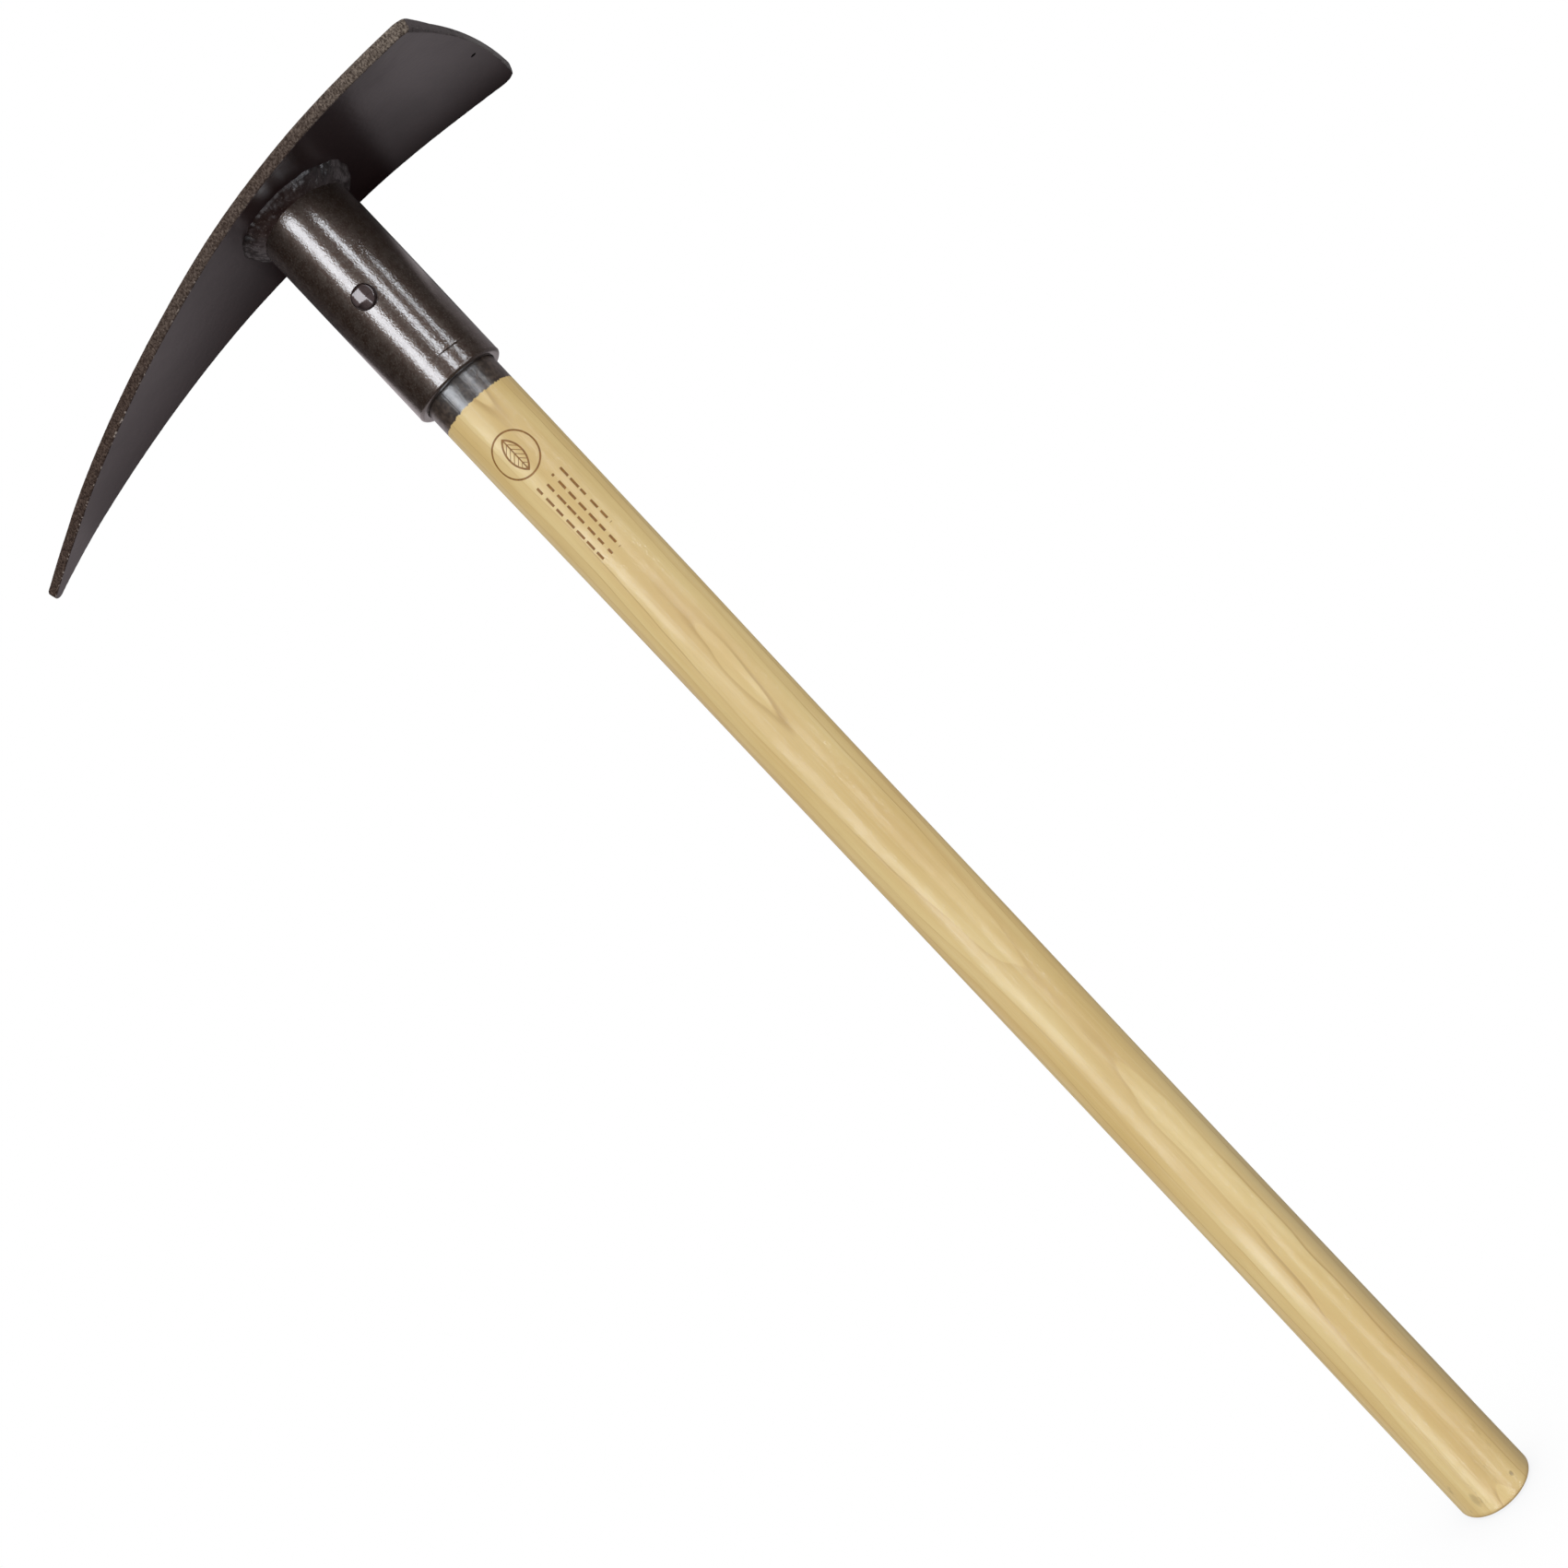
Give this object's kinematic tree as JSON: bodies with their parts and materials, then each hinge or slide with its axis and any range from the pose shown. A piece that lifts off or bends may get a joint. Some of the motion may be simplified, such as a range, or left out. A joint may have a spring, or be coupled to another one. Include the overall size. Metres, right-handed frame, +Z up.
{
  "type": "draw hoe with pick end",
  "caption": "Long-handled digging hoe: a curved steel head, broad hoe blade at one end and narrow pick at the other, welded to a pipe socket on a round wooden handle.",
  "frame": {"origin": "centre of the flat end of the handle's butt", "axes": "+Z up the handle towards the head, +X towards the broad hoe end, -X towards the pick, Y across the head"},
  "size_m": [0.2985, 0.107, 0.712],
  "materials": {
    "plate_paint": "dark brown hammertone, semi-gloss",
    "socket_paint": "dark brown hammertone, gloss",
    "weld_paint": "dark brown paint over a lumpy weld",
    "hickory": "lacquered hickory with long straight grain",
    "rivet_paint": "dark brown hammertone, gloss"
  },
  "bodies": {
    "root": {"hoe_blade": "plate_paint", "socket_tube": "socket_paint", "weld_bead": "weld_paint", "handle": "hickory", "handle_rivet": "rivet_paint"}
  },
  "joints": []
}
